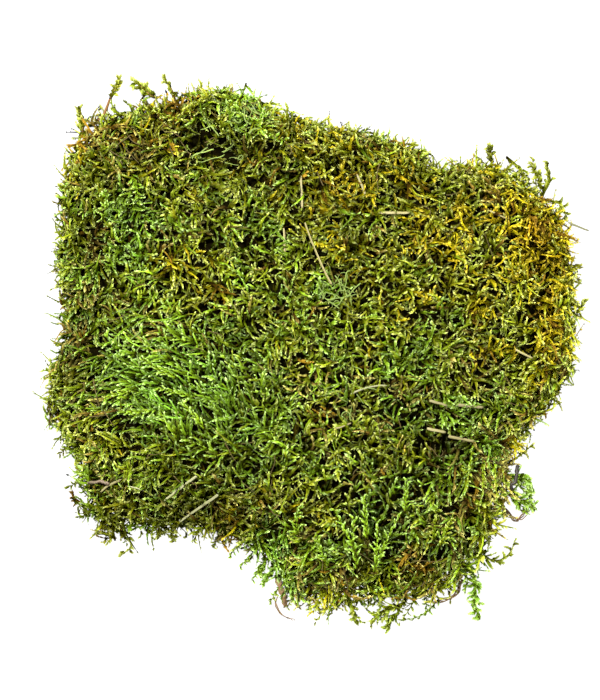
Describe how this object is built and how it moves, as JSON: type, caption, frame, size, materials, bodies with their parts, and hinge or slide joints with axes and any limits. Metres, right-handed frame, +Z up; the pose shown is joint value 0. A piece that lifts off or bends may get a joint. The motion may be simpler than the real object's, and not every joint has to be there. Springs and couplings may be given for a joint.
{
  "type": "moss clump",
  "caption": "Torn pad of sheet moss with loose sprigs round its ragged rim and dry straws, needles and twigs lying on top. It rests on its flat underside.",
  "frame": {"origin": "on the flat underside, below the middle of the pad", "axes": "+Z up out of the growing side, +Y towards the broad back edge with the dark pockets, +X towards the golden shoulder"},
  "size_m": [0.2734, 0.279, 0.0342],
  "materials": {
    "moss_pad": "matte",
    "moss_sprig": "satin",
    "dead_stem": "matte",
    "dry_straw": "satin",
    "grey_needle": "satin",
    "dark_twig": "matte",
    "bark": "matte"
  },
  "bodies": {
    "root": {"moss_pad": "moss_pad", "straw_long": "dry_straw", "straw_upper": "dry_straw", "straw_pale_short": "dry_straw", "grass_blade_north": "dry_straw", "grass_blade_amber": "dry_straw", "straw_east_pale": "dry_straw", "straw_east_rim": "dry_straw", "straw_southeast_a": "dry_straw", "straw_southeast_b": "dry_straw", "straw_southeast_c": "dry_straw", "straw_southeast_d": "dry_straw", "straw_middle_grey": "grey_needle", "straw_middle_low": "dry_straw", "straw_southwest_a": "grey_needle", "straw_southwest_b": "grey_needle", "straw_southwest_c": "dry_straw", "needle_southwest": "grey_needle", "twig_southwest": "dark_twig", "sprig_brown_stem": "moss_sprig", "sprig_west_corner": "moss_sprig", "sprig_north_fork": "moss_sprig", "sprig_north_curl": "moss_sprig", "sprig_north_horn": "moss_sprig", "sprig_northeast_a": "moss_sprig", "sprig_northeast_b": "moss_sprig", "sprig_northeast_c": "moss_sprig", "sprig_northeast_arc": "moss_sprig", "needle_east": "grey_needle", "sprig_east_tip": "moss_sprig", "sprig_southeast_thin": "moss_sprig", "twig_southeast": "dark_twig", "tuft_southeast_a": "moss_sprig", "tuft_southeast_b": "moss_sprig", "root_strands": "dead_stem", "sprig_southeast_curl": "moss_sprig", "sprig_south_feather": "moss_sprig", "stem_south_loop": "dead_stem", "sprig_south_fan_a": "moss_sprig", "sprig_south_fan_b": "moss_sprig", "sprig_south_blade": "moss_sprig", "stem_south_curl": "dead_stem", "bark_strip": "bark", "root_tail": "dead_stem", "sprig_notch_a": "moss_sprig", "sprig_notch_b": "moss_sprig", "sprig_southwest_tail": "moss_sprig", "sprig_southwest_hook": "dead_stem", "sprig_southwest_a": "moss_sprig", "sprig_southwest_b": "moss_sprig", "sprig_west_dark": "dead_stem"}
  },
  "joints": []
}
